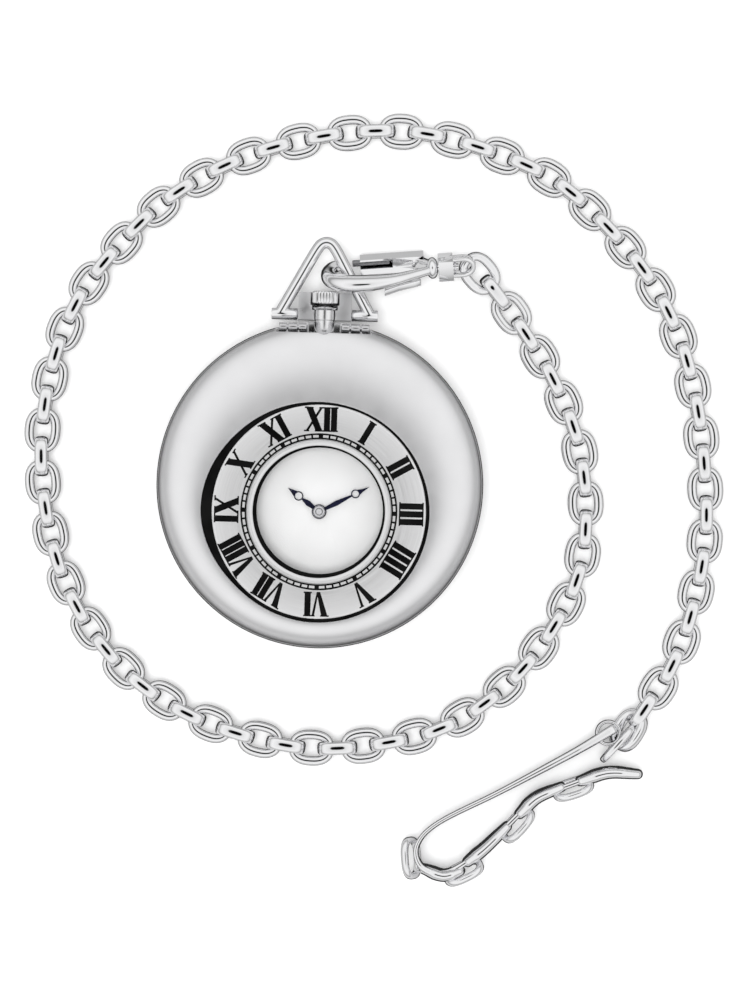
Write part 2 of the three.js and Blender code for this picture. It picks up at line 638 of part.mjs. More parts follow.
function swivelYoke() {
  const shank = block([0.9, 3.2], [-1.75, 1.75], [-1.3, 1.3]);
  const loop = prism([
    [3.1, -1.75], [5.2, -1.75], [6.2, -1.35], [6.6, -0.6],
    [6.6, 0.6], [6.2, 1.35], [5.2, 1.75], [3.1, 1.75],
  ], -0.65, 0.65);
  const eye = prism([
    [3.2, -1.1], [4.9, -1.1], [5.6, -0.6], [5.6, 0.6], [4.9, 1.1], [3.2, 1.1],
  ], -2, 2);
  const bore = alongX(disc(SWIVEL_BORE, 0, 3.4, [0, 0], 16), 0, 0);
  return cut(join(shank, loop), eye, bore);
}

function addClip() {
  const clip = new THREE.Group();
  clip.position.set(...CLIP_CENTRE);
  clip.rotation.z = CLIP_TURN;
  group.add(clip);
  const hook = new THREE.Group();
  hook.rotation.x = CLIP_ROLL;
  clip.add(hook);
  piece('hook_body', hookBody(), polishedSteel(), hook);
  piece('hook_bolt', hookBolt(), polishedSteel(), hook);
  const spring = alongX(disc(0.24, -7.9, -2.7, [0, 0], 10), GATE_OFFSET, 0);
  piece('bolt_spring', spring, satinSteel(), hook);
  piece('hook_trigger', hookTrigger(), polishedSteel(), hook);
  const spacer = alongX(washer(SWIVEL_BORE, 0.95, 3.35, 3.65, [0, 0], 16), 0, 0);
  piece('swivel_washer', spacer, satinSteel(), hook);
  const yoke = new THREE.Group();
  yoke.rotation.x = Math.PI / 5;
  clip.add(yoke);
  piece('swivel_yoke', swivelYoke(), polishedSteel(), yoke);
}

// ---- chain and belt hook ---------------------------------------------------------------
// The chain lies in one and a half loose turns around the watch; its links fill this tube.
const CHAIN_ROUTE = [
  [23.6, 33.2, 4.6], [26, 30.6, 3.6], [30, 25.5, CHAIN_HEIGHT],
  ...[
    [35.5, 17], [39.5, 7.5], [41, -3], [40, -13], [35.5, -22.5], [29, -30.5], [20.5, -36.5],
    [10.5, -39.5], [0, -40.5], [-10, -39], [-20, -35.5], [-28.5, -30], [-35.5, -22], [-40, -13],
    [-42.5, -2.5], [-43, 7.5], [-41.5, 18], [-38, 27.5], [-32, 36], [-24.5, 43.5], [-15.5, 49],
    [-6, 52.5], [4.5, 54.5], [14.5, 54.5], [25, 52], [34.5, 48], [42.5, 41.5], [49.5, 33.5],
    [54.5, 24.5], [57.5, 14.5], [59, 4.5], [59.5, -6], [58, -16.5], [55, -26], [49.8, -34.8],
  ].map(([x, y]) => [x, y, CHAIN_HEIGHT]),
];

// Belt hook: thin straight back from the ring end, round bend, wavy front.
function beltHook() {
  const halfWidths = [
    0.7, 0.5, 0.45, 0.45, 0.45, 0.6, 0.9, 1.0, 1.0, 1.0, 1.0, 1.0, 0.9, 0.9, 0.9, 0.9, 0.7,
  ];
  const band = ribbon([
    [46.1, -36.35], [36.5, -42.2], [28.7, -46.6], [19.6, -51.5], [16.5, -55.0], [17.2, -58.2],
    [20.6, -59.3], [23.7, -57.7], [26.3, -55.6], [28.9, -53.1], [31.4, -50.4], [34.0, -47.9],
    [36.6, -46.4], [40.0, -45.0], [43.1, -43.8], [47.1, -42.8], [50.0, -43.0],
  ], halfWidths, 40, 0, BELT_HOOK_DEPTH);
  const eye = block([-0.9, 0.9], [-2, 2], [2.6, 4.4]).rotateZ(Math.PI / 6).translate(43.9, -37.8, 0);
  return cut(band, eye);
}

function addChain() {
  piece('chain', bar(CHAIN_ROUTE, CHAIN_RADIUS, 8, 40), polishedSteel());
  const ring = new THREE.TorusGeometry(1.8, 0.42, 6, 18).translate(45.4, -36.9, 3.5);
  piece('end_ring', closed(ring), polishedSteel());
  piece('belt_hook', beltHook(), polishedSteel());
}

addCase();
addLid();
addDialAndHands();
addMovement();
addPendant();
addClip();
addChain();

export default group;
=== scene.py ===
import math

import bmesh
import bpy
from mathutils import Matrix, Vector


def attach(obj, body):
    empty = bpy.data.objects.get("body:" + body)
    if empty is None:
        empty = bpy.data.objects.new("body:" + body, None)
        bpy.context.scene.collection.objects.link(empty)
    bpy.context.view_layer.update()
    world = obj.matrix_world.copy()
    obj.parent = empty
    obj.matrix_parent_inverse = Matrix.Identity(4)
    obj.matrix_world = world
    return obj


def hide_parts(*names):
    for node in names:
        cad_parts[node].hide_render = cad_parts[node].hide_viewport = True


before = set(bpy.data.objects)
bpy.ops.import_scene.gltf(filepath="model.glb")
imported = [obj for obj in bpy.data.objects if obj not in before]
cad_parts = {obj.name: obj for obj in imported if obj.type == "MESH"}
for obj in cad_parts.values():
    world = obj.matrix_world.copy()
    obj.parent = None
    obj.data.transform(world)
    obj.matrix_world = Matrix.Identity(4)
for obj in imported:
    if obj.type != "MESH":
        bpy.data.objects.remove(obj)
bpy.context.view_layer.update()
scene = bpy.context.scene
MM = 0.001
TAU = 2 * math.pi

# ---- dimensions, in millimetres ------------------------------------------------------------
WINDOW_CENTRE = (0.0, -4.1)
CASE_RADIUS = 25.0
STEM_HEIGHT = 7.0
BOW_AXIS = (26.1, 6.2)
BOW_WIRE = 0.86
LID_AXIS = (24.1, 9.1)
LID_RIM = 24.75
LID_BOTTOM, LID_RISE, LID_INNER_RISE = 9.2, 4.3, 2.8
NOTCH_END = 24.6
CLIP_CENTRE = (16.3, 33.75, 6.55)
CLIP_TURN = math.radians(5.5)
CLIP_ROLL = math.radians(117)
YOKE_ROLL = math.radians(36)
CHAIN_HEIGHT = 2.75
LINK_PITCH = 4.0
CHAIN_ROUTE = [(23.6, 33.2, 4.6), (26, 30.6, 3.6), (30, 25.5, CHAIN_HEIGHT)] + [
    (x, y, CHAIN_HEIGHT) for x, y in [
        (35.5, 17), (39.5, 7.5), (41, -3), (40, -13), (35.5, -22.5), (29, -30.5), (20.5, -36.5),
        (10.5, -39.5), (0, -40.5), (-10, -39), (-20, -35.5), (-28.5, -30), (-35.5, -22), (-40, -13),
        (-42.5, -2.5), (-43, 7.5), (-41.5, 18), (-38, 27.5), (-32, 36), (-24.5, 43.5), (-15.5, 49),
        (-6, 52.5), (4.5, 54.5), (14.5, 54.5), (25, 52), (34.5, 48), (42.5, 41.5), (49.5, 33.5),
        (54.5, 24.5), (57.5, 14.5), (59, 4.5), (59.5, -6), (58, -16.5), (55, -26), (49.8, -34.8),
    ]]

# ---- camera ----------------------------------------------------------------------------------
VIEW_CENTRE = (8.5, -2.07)
VIEW_WIDTH = 153.4  # millimetres shown across the taller side of the picture
LENS = 200.0
SENSOR = 36.0
REFERENCE_HEIGHT = 6.5
camera_data = bpy.data.cameras.new("camera")
camera_data.lens = LENS
camera_data.sensor_width = SENSOR
camera_data.clip_end = 20.0
camera = bpy.data.objects.new("camera", camera_data)
camera_height = REFERENCE_HEIGHT + VIEW_WIDTH * LENS / SENSOR
camera.location = Vector((*VIEW_CENTRE, camera_height)) * MM
camera.rotation_euler = (0, 0, math.radians(1.6))
scene.collection.objects.link(camera)
scene.camera = camera
scene.view_settings.view_transform = "Standard"


# ---- node materials --------------------------------------------------------------------------
class Nodes:
    """Adds nodes to one material and links them, so that each material below reads as its own recipe."""

    def __init__(self, name):
        self.material = bpy.data.materials.new(name)
        self.material.use_nodes = True
        self.tree = self.material.node_tree
        self.shader = self.tree.nodes["Principled BSDF"]

    def add(self, kind, inputs=(), **settings):
        node = self.tree.nodes.new(kind)
        for key, value in settings.items():
            setattr(node, key, value)
        for key, value in dict(inputs).items():
            if hasattr(value, "is_output"):
                self.tree.links.new(value, node.inputs[key])
            else:
                node.inputs[key].default_value = value
        return node

    def place(self):
        return self.add("ShaderNodeTexCoord").outputs["Object"]

    def noise(self, vector, scale, detail=3.0):
        texture = self.add("ShaderNodeTexNoise", {"Vector": vector, "Scale": scale, "Detail": detail})
        return texture.outputs["Fac"]

    def polar(self, vector):
        """Parts of a vector, and its distance from the vertical axis."""
        axes = self.add("ShaderNodeSeparateXYZ", {"Vector": vector}).outputs
        flat = self.add("ShaderNodeCombineXYZ", {"X": axes["X"], "Y": axes["Y"]}).outputs["Vector"]
        return axes, self.add("ShaderNodeVectorMath", {0: flat}, operation="LENGTH").outputs["Value"]

    def between(self, factor, low, high):
        return self.add("ShaderNodeMapRange", {
            "Value": factor, "From Min": 0.3, "From Max": 0.7, "To Min": low, "To Max": high,
        }).outputs["Result"]

    def tint(self, factor, low, high):
        ramp = self.add("ShaderNodeValToRGB", {"Fac": factor})
        ramp.color_ramp.elements[0].position = 0.35
        ramp.color_ramp.elements[1].position = 0.65
        ramp.color_ramp.elements[0].color = (*low, 1)
        ramp.color_ramp.elements[1].color = (*high, 1)
        return ramp.outputs["Color"]

    def bump(self, height, strength, distance):
        return self.add("ShaderNodeBump", {
            "Height": height, "Strength": strength, "Distance": distance,
        }).outputs["Normal"]

    def wire(self, **sockets):
        for key, value in sockets.items():
            socket = self.shader.inputs[key.replace("_", " ")]
            if hasattr(value, "is_output"):
                self.tree.links.new(value, socket)
            else:
                socket.default_value = value


PAINTED_RIM_SHADE = 0.62  # painted shade: the share of a round piece's tone that is left at its rim


def polished(name, tone, rough, grain=0.03, smear=0.3, rim=None):
    """Polished metal: faint smears in the gloss, slight tone changes, and hairlines from wiping.
    rim is the radius in millimetres at which painted shade starts to darken a round piece towards its edge."""
    n = Nodes(name)
    place = n.place()
    smears = n.noise(place, 420.0)
    colour = n.tint(n.noise(place, 180.0), [0.97 * c for c in tone], tone)
    # painted shade: the base colour darkens towards the rim of a round piece
    if rim:
        radius = n.polar(place)[1]
        shade = n.add("ShaderNodeMapRange", {
            "Value": radius, "From Min": rim * MM, "From Max": CASE_RADIUS * MM,
            "To Min": 1.0, "To Max": PAINTED_RIM_SHADE,
        }, interpolation_type="SMOOTHSTEP").outputs["Result"]
        dim = n.add("ShaderNodeVectorMath", {0: colour, "Scale": shade}, operation="SCALE")
        colour = dim.outputs["Vector"]
    n.wire(
        Base_Color=colour,
        Roughness=n.between(smears, rough * (1 - smear), rough * (1 + smear)),
        Normal=n.bump(n.noise(place, 5200.0, 2.0), grain, 0.00001),
        Metallic=1.0,
    )
    return n.material


def brushed(name, tone, rough, centre):
    """Metal brushed in circles about a vertical line through centre."""
    n = Nodes(name)
    middle = (centre[0] * MM, centre[1] * MM, 0)
    offset = n.add("ShaderNodeVectorMath", {0: n.place(), 1: middle}, operation="SUBTRACT")
    axes, radius = n.polar(offset.outputs["Vector"])
    angle = n.add("ShaderNodeMath", {0: axes["Y"], 1: axes["X"]}, operation="ARCTAN2").outputs["Value"]
    rings = n.add("ShaderNodeMath", {0: radius, 1: 9000.0}, operation="MULTIPLY").outputs["Value"]
    strokes = n.add("ShaderNodeCombineXYZ", {"X": rings, "Y": angle}).outputs["Vector"]
    lines = n.noise(strokes, 1.6, 4.0)
    n.wire(
        Base_Color=n.tint(lines, [0.93 * c for c in tone], tone),
        Roughness=n.between(lines, rough * 0.8, rough * 1.25),
        Normal=n.bump(lines, 0.12, 0.00002),
        Metallic=1.0,
    )
    return n.material


def coated(name, low, high, rough, grain=900.0, strength=0.15, gloss=0.5):
    """Paint, enamel, plastic or rubber: two near tones and a fine surface grain."""
    n = Nodes(name)
    place = n.place()
    grains = n.noise(place, grain)
    n.wire(
        Base_Color=n.tint(n.noise(place, 260.0), low, high),
        Roughness=n.between(grains, rough * 0.85, rough * 1.15),
        Normal=n.bump(grains, strength, 0.00002),
        Specular_IOR_Level=gloss,
    )
    return n.material


def glass(name):
    """Thin watch crystal: clear, with a slight gloss and the faintest dust."""
    n = Nodes(name)
    place = n.place()
    n.wire(
        Base_Color=n.tint(n.noise(place, 300.0), (0.05, 0.06, 0.065), (0.08, 0.09, 0.1)),
        Roughness=n.between(n.noise(place, 700.0), 0.02, 0.05),
        Specular_IOR_Level=0.03,
        Alpha=0.015,
    )
    return n.material


STEEL = (0.93, 0.93, 0.94)
materials = {
    # case_steel darkens towards its rim with painted shade
    "case_steel": polished("case_steel", STEEL, 0.36, 0.04, 0.05, rim=23.4),
    "band_steel": polished("band_steel", (0.66, 0.66, 0.67), 0.16),
    "ring_steel": brushed("ring_steel", (0.94, 0.94, 0.945), 0.42, WINDOW_CENTRE),
    "block_steel": polished("block_steel", (0.68, 0.68, 0.69), 0.34, 0.2),
    "bright_steel": polished("bright_steel", STEEL, 0.06),
    "satin_steel": polished("satin_steel", (0.9, 0.9, 0.91), 0.24),
    "shaded_steel": polished("shaded_steel", (0.3, 0.3, 0.31), 0.25),
    "chain_steel": polished("chain_steel", STEEL, 0.07),
    "belt_hook_steel": polished("belt_hook_steel", STEEL, 0.08),
    "dial_white": coated("dial_white", (0.79, 0.79, 0.79), (0.82, 0.82, 0.82), 0.5, 1500.0, 0.05),
    "hands_black": coated("hands_black", (0.004, 0.004, 0.012), (0.008, 0.008, 0.03), 0.3, gloss=0.06),
    # enamel_black is print on the numeral ring, and also painted shade in the groove round the numerals, at
    # the window's edge and in the snap hook's slot
    "enamel_black": coated("enamel_black", (0.002, 0.002, 0.002), (0.006, 0.006, 0.006), 0.5, gloss=0.03),
    "watch_glass": glass("watch_glass"),
    "small_steel": polished("small_steel", (0.8, 0.8, 0.82), 0.22),
    "plate_steel": brushed("plate_steel", (0.78, 0.78, 0.8), 0.32, WINDOW_CENTRE),
    "wheel_brass": brushed("wheel_brass", (0.8, 0.6, 0.3), 0.28, WINDOW_CENTRE),
    "rotor_magnet": polished("rotor_magnet", (0.4, 0.4, 0.43), 0.35, 0.2),
    "coil_copper": polished("coil_copper", (0.75, 0.33, 0.16), 0.3, 0.3),
    "cell_steel": brushed("cell_steel", (0.82, 0.82, 0.83), 0.25, WINDOW_CENTRE),
    "board_green": coated("board_green", (0.02, 0.09, 0.04), (0.03, 0.13, 0.06), 0.4),
    "chip_black": coated("chip_black", (0.01, 0.01, 0.011), (0.02, 0.02, 0.022), 0.55),
    "ring_plastic": coated("ring_plastic", (0.72, 0.7, 0.66), (0.8, 0.78, 0.74), 0.5),
    "seal_rubber": coated("seal_rubber", (0.012, 0.012, 0.013), (0.02, 0.02, 0.021), 0.7, 2500.0, 0.3),
}


# ---- shapes, in millimetres: each returns (points, faces) ------------------------------------
def loft(rings, closed=False):
    """Skin over rings of the same number of points; an open skin is capped at both ends."""
    count = len(rings[0])
    points = [Vector(p) for ring in rings for p in ring]
    faces = []
    for i in range(len(rings) if closed else len(rings) - 1):
        low, high = i * count, (i + 1) % len(rings) * count
        for j in range(count):
            k = (j + 1) % count
            faces.append((low + j, low + k, high + k, high + j))
    if not closed:
        faces.append(tuple(reversed(range(count))))
        faces.append(tuple(range(len(points) - count, len(points))))
    return points, faces


def circle(radius, z, centre=(0, 0), count=128):
    turns = [TAU * i / count for i in range(count)]
    return [(centre[0] + radius * math.cos(a), centre[1] + radius * math.sin(a), z) for a in turns]


def lathe(profile, centre=(0, 0), count=128, closed=True):
    """Turned piece about a vertical line; profile lists (radius, height).
    closed joins the profile's ends, as on a ring."""
    return loft([circle(max(r, 1e-4), z, centre, count) for r, z in profile], closed)


def disc(radius, low, high, centre=(0, 0), count=128):
    return lathe([(0, low), (radius, low), (radius, high), (0, high)], centre, count, closed=False)


def washer(inner, outer, low, high, centre=(0, 0), count=128):
    return lathe([(inner, low), (outer, low), (outer, high), (inner, high)], centre, count)


def plate(outline, z0, z1):
    return loft([[(x, y, z0) for x, y in outline], [(x, y, z1) for x, y in outline]])


def block(x, y, z):
    return plate([(x[0], y[0]), (x[1], y[0]), (x[1], y[1]), (x[0], y[1])], *z)


def curve(points, steps, closed=False):
    """Points of a smooth curve through the given ones, steps to each span."""
    p = [Vector(q) for q in points]
    count = len(p)
    made = []
    for i in range(count if closed else count - 1):
        if closed:
            a, b, c, d = (p[(i + k) % count] for k in (-1, 0, 1, 2))
        else:
            b, c = p[i], p[i + 1]
            a = p[i - 1] if i else 2 * b - c
            d = p[i + 2] if i + 2 < count else 2 * c - b
        for s in range(steps):
            t = s / steps
            made.append(0.5 * (2 * b + (c - a) * t + (2 * a - 5 * b + 4 * c - d) * t * t
                               + (3 * b - a - 3 * c + d) * t ** 3))
    if not closed:
        made.append(p[-1])
    return made


def spread(values, count):
    """The values read off evenly at count places."""
    if not hasattr(values, "__len__"):
        return [values] * count
    read = []
    for i in range(count):
        at = i / (count - 1) * (len(values) - 1)
        low = min(int(at), len(values) - 2)
        read.append(values[low] + (values[low + 1] - values[low]) * (at - low))
    return read


def section(width, height, power, count):
    """Points of a superellipse; power 2 is an ellipse and more is squarer."""
    made = []
    for i in range(count):
        c, s = math.cos(TAU * i / count), math.sin(TAU * i / count)
        made.append((width * math.copysign(abs(c) ** (2 / power), c),
                     height * math.copysign(abs(s) ** (2 / power), s)))
    return made


def sweep(path, width, height=None, up=(0, 0, 1), sides=24, power=2.0, closed=False, round_ends=0):
    """Bar along a path: half width across and half height towards up.
    Each is one number, or a list spread evenly along the path."""
    count = len(path)
    widths, heights = spread(width, count), spread(width if height is None else height, count)
    up = Vector(up)
    rings = []

    def ring(at, across, above, w, h):
        return [at + across * u + above * v for u, v in section(w, h, power, sides)]

    for i, here in enumerate(path):
        after = path[(i + 1) % count] if closed or i + 1 < count else here
        before = path[i - 1] if closed or i else here
        along = (after - before).normalized()
        across = along.cross(up).normalized()
        above = across.cross(along)
        if round_ends and not closed and i in (0, count - 1):
            sign = -1 if i == 0 else 1
            cap = []
            for k in range(1, round_ends + 1):
                turn = math.pi / 2 * k / round_ends
                reach = min(widths[i], heights[i]) * math.sin(turn)
                shrink = max(math.cos(turn), 0.02)
                cap.append(ring(here + along * sign * reach, across, above,
                                widths[i] * shrink, heights[i] * shrink))
            if i == 0:
                rings += cap[::-1] + [ring(here, across, above, widths[i], heights[i])]
            else:
                rings += [ring(here, across, above, widths[i], heights[i])] + cap
        else:
            rings.append(ring(here, across, above, widths[i], heights[i]))
    return loft(rings, closed)


def moved(shape, matrix):
    return [matrix @ Vector(p) for p in shape[0]], shape[1]


def together(*shapes):
    points, faces = [], []
    for more_points, more_faces in shapes:
        faces += [tuple(i + len(points) for i in face) for face in more_faces]
        points += list(more_points)
    return points, faces


ALONG_Y = Matrix(((1, 0, 0, 0), (0, 0, 1, 0), (0, -1, 0, 0), (0, 0, 0, 1)))  # height becomes +Y
ALONG_X = Matrix(((0, 0, 1, 0), (0, 1, 0, 0), (-1, 0, 0, 0), (0, 0, 0, 1)))  # height becomes +X


def along_y(shape, x, z):
    return moved(shape, Matrix.Translation((x, 0, z)) @ ALONG_Y)


def along_x(shape, y, z):
    return moved(shape, Matrix.Translation((0, y, z)) @ ALONG_X)


# ---- pieces ----------------------------------------------------------------------------------
def mesh_object(name, shape, material):
    mesh = bpy.data.meshes.new(name)
    mesh.from_pydata([p * MM for p in map(Vector, shape[0])], [], shape[1])
    work = bmesh.new()
    work.from_mesh(mesh)
    bmesh.ops.remove_doubles(work, verts=work.verts, dist=1e-7)
    bmesh.ops.dissolve_degenerate(work, edges=work.edges, dist=1e-8)
    bmesh.ops.recalc_face_normals(work, faces=work.faces)
    work.to_mesh(mesh)
    work.free()
    if material:
        mesh.materials.append(materials[material])
    obj = bpy.data.objects.new(name, mesh)
    scene.collection.objects.link(obj)
    return obj


def settle(obj):
    """Replaces the object's mesh with what its modifiers make of it."""
    made = bpy.data.meshes.new_from_object(obj.evaluated_get(bpy.context.evaluated_depsgraph_get()))
    obj.modifiers.clear()
    obj.data = made


def carve(obj, *cutters, operation="DIFFERENCE"):
    for cutter in cutters:
        tool = mesh_object("tool", cutter, None)
        change = obj.modifiers.new("carve", "BOOLEAN")
        change.operation = operation
        change.object = tool
        change.solver = "EXACT"
        settle(obj)
        bpy.data.objects.remove(tool)


def piece(name, shape, material, body, replaces=(), bevel=0.0, sharp=40, cutters=(), unions=()):
    """A named piece on a body. bevel is the width of its rounded edges in millimetres."""
    obj = mesh_object(name, shape, material)
    carve(obj, *unions, operation="UNION")
    carve(obj, *cutters)
    if bevel:
        edge = obj.modifiers.new("bevel", "BEVEL")
        edge.width = bevel * MM
        edge.segments = 3
        edge.limit_method = "ANGLE"
        edge.angle_limit = math.radians(35)
        edge.miter_outer = "MITER_ARC"
        settle(obj)
    obj.data.polygons.foreach_set("use_smooth", [True] * len(obj.data.polygons))
    obj.data.set_sharp_from_angle(angle=math.radians(sharp))
    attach(obj, body)
    if replaces:
        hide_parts(*replaces)
    return obj


# ---- chain -----------------------------------------------------------------------------------
def along_route(route, step):
    """Places step apart along a smooth route, with the direction at each."""
    fine = curve(route, 24)
    lengths = [0.0]
    for a, b in zip(fine, fine[1:]):
        lengths.append(lengths[-1] + (b - a).length)
    places = []
    i = 0
    for k in range(int(lengths[-1] / step) + 1):
        while i < len(fine) - 2 and lengths[i + 1] < k * step:
            i += 1
        share = (k * step - lengths[i]) / (lengths[i + 1] - lengths[i])
        places.append((fine[i].lerp(fine[i + 1], share), (fine[i + 1] - fine[i]).normalized()))
    return fine, lengths[-1], places


def link(length, width, end, side, thick, square, sides=16, steps=48):
    """Oval link in its own plane, along X: its outer length and width, its wire's half sizes at the
    ends, sides and across the plane, and how square it is."""
    half_length, half_width = length / 2 - end, width / 2 - side
    path, across = [], []
    for i in range(steps):
        c, s = math.cos(TAU * i / steps), math.sin(TAU * i / steps)
        path.append(Vector((half_length * math.copysign(abs(c) ** (2 / square), c),
                            half_width * math.copysign(abs(s) ** (2 / square), s), 0)))
        across.append(side + (end - side) * c * c)
    rings = []
    for i, here in enumerate(path):
        ahead = (path[(i + 1) % steps] - path[i - 1]).normalized()
        out = Vector((ahead.y, -ahead.x, 0))
        rings.append([here + out * u + Vector((0, 0, v)) for u, v in section(across[i], thick, 2.8, sides)])
    return loft(rings, closed=True)


def oriented(centre, ahead, roll):
    """Matrix that lays a link's length ahead, turned by roll about it."""
    side = Vector((0, 0, 1)).cross(ahead).normalized()
    above = ahead.cross(side)
    turn = Matrix((ahead, side, above)).transposed().to_4x4()
    return Matrix.Translation(centre) @ turn @ Matrix.Rotation(roll, 4, "X")


FLAT_LINK = link(6.9, 5.5, 0.6, 0.72, 0.85, 2.5)
UPRIGHT_LINK = link(6.2, 5.1, 0.6, 0.62, 0.97, 3.4)
route_points, route_length, link_places = along_route(CHAIN_ROUTE, LINK_PITCH)
links = together(*(
    moved(UPRIGHT_LINK if i % 2 else FLAT_LINK, oriented(at, ahead, math.pi / 2 if i % 2 else 0.0))
    for i, (at, ahead) in enumerate(link_places)))
chain = piece("chain_links", links, "chain_steel", "chain", ["chain"], sharp=60)

# ---- case ------------------------------------------------------------------------------------
piece("case_back", lathe([
    (0, 0), (12.6, 0), (12.9, 0.06), (16.5, 0.45), (20.5, 1.8), (23.2, 3.4), (24.75, 4.45), (22.9, 4.45),
    (20.0, 2.7), (16.2, 1.35), (12.5, 0.85), (0, 0.85),
], closed=False), "case_steel", "case", ["back_cover"], bevel=0.1)


def pendant_notch(half):
    """Cutter with a round end, half wide each side, that makes room for the pendant tube."""
    turns = [-TAU * k / 24 for k in range(1, 12)]
    arc = [(half * math.cos(a), NOTCH_END + half * math.sin(a)) for a in turns]
    sides = [(-half, NOTCH_END), (-half, 28), (half, 28), (half, NOTCH_END)]
    return plate(sides + arc, 5.4, 20)


def knuckle(start, length):
    """One barrel of the lid's hinge."""
    return along_x(disc(0.6, start, start + length, count=24), *LID_AXIS)


band = lathe([(22.6, 4.7), (24.7, 4.7), (25.0, 5.2), (25.0, 8.5), (24.8, 9.0), (22.6, 9.0)], count=192)
hinge_rooms = [block((x, x + 4.6), (23.25, 26), (8.25, 20)) for x in (-7.1, 2.5)]
piece("case_ring", band, "band_steel", "case", ["case_band"], bevel=0.12,
      cutters=[pendant_notch(1.5), *hinge_rooms])
for i, x in enumerate((-6.9, -3.9, 2.7, 5.7)):
    piece(f"case_knuckle_{i + 1}", knuckle(x, 1.2), "band_steel", "case", bevel=0.08)


def lid_outline(share, count=256):
    """Outline of the dome at share of the way from its rim (0) to the recess round the numerals (1)."""
    widths = curve([(0, w, 0) for w in GROOVE_WIDTHS], count // len(GROOVE_WIDTHS), closed=True)
    made = []
    for i in range(count):
        c, s = math.cos(TAU * i / count), math.sin(TAU * i / count)
        inner = PLATE_RADIUS + widths[i].y
        made.append(((1 - share) * LID_RIM * c + share * (WINDOW_CENTRE[0] + inner * c),
                     (1 - share) * LID_RIM * s + share * (WINDOW_CENTRE[1] + inner * s)))
    return made


def level(outline, z):
    return [(x, y, z) for x, y in outline]


def scaled(outline, factor, centre):
    return [(centre[0] + (x - centre[0]) * factor, centre[1] + (y - centre[1]) * factor)
            for x, y in outline]


# width of the groove round the numerals, every 45 degrees from three o'clock towards twelve; the black in
# the groove is painted shade
GROOVE_WIDTHS = [0.58, 0.42, 0.44, 0.95, 1.72, 0.68, 0.6, 0.58]
PLATE_RADIUS = 16.32
lid_rings = []
for i in range(41):
    phase = i / 40 * math.pi / 2
    lid_rings.append(level(lid_outline(1 - math.cos(phase)), LID_BOTTOM + LID_RISE * math.sin(phase)))
lip = lid_outline(1.0)
for factor, z in ((0.998, 13.46), (0.996, 13.36), (0.996, 12.75)):
    lid_rings.append(level(scaled(lip, factor, WINDOW_CENTRE), z))
for radius, z in ((10.55, 12.75), (10.55, 12.3), (9.9, 12.3), (9.9, 12.0)):
    lid_rings.append(circle(radius, z, WINDOW_CENTRE, 256))
lid_rings.append(level(scaled(lip, 0.975, WINDOW_CENTRE), 12.0))
for i in range(8, -1, -1):
    phase = i / 9 * math.pi / 2
    inside = scaled(lid_outline(1 - math.cos(phase)), 0.96, (0, 0))
    lid_rings.append(level(inside, LID_BOTTOM + LID_INNER_RISE * math.sin(phase)))
piece("lid_dome", loft(lid_rings, closed=True), "case_steel", "lid", ["lid"], bevel=0.05,
      sharp=50, cutters=[pendant_notch(1.65), block((-7.3, 7.3), (23.2, 27), (8.2, 20))])
for i, x in enumerate((-5.5, 4.1)):
    piece(f"lid_knuckle_{i + 1}", knuckle(x, 1.4), "band_steel", "lid", bevel=0.08)

# ---- numeral ring, window and dial -------------------------------------------------------------
# black band in the groove round the numerals: painted shade
groove = loft([
    level(scaled(lip, 0.995, WINDOW_CENTRE), 12.76), level(scaled(lip, 0.995, WINDOW_CENTRE), 13.2),
    circle(16.33, 13.2, WINDOW_CENTRE, 256), circle(16.33, 12.76, WINDOW_CENTRE, 256)], closed=True)
piece("ring_groove_painted_shade", groove, "enamel_black", "lid")
numeral_profile = [
    (11.0, 12.8), (16.28, 12.8), (PLATE_RADIUS, 13.25), (16.26, 13.32), (16.16, 13.33), (16.12, 13.3),
    (16.06, 13.33), (16.0, 13.35), (11.95, 13.35), (11.0, 13.35),
]
piece("numeral_plate", lathe(numeral_profile, WINDOW_CENTRE, 256), "ring_steel", "lid", ["numeral_ring"],
      bevel=0.03)
piece("minute_track", washer(11.04, 11.95, 13.34, 13.37, WINDOW_CENTRE, 256), "enamel_black", "lid")


def arc_bar(r0, r1, a0, a1, z0, z1, steps=6):
    """Short bar bent round the window, between two radii and two angles clockwise from twelve."""
    outer = [(r1, a0 + (a1 - a0) * k / steps) for k in range(steps + 1)]
    inner = [(r0, a1 - (a1 - a0) * k / steps) for k in range(steps + 1)]
    outline = [(WINDOW_CENTRE[0] + r * math.sin(a), WINDOW_CENTRE[1] + r * math.cos(a))
               for r, a in outer + inner]
    return plate(outline, z0, z1)


DASH, MINUTE_GAP, HOUR_GAP = math.radians(4.2), math.radians(1.4), math.radians(3.4)
dashes = []
for hour in range(12):
    start = math.radians(30 * hour) + HOUR_GAP / 2
    for k in range(5):
        begin = start + k * (DASH + MINUTE_GAP)
        dashes.append(arc_bar(11.3, 11.68, begin, begin + DASH, 13.36, 13.39))
piece("minute_dashes", together(*dashes), "ring_steel", "lid")

STEM, SERIF, OVERHANG, HAIR = 0.93, 0.22, 0.15, 0.4
AFTER_STEM, AFTER_SLANT = 0.22, 0.16
NUMERAL_BASE, NUMERAL_HEIGHT = 12.2, 3.75


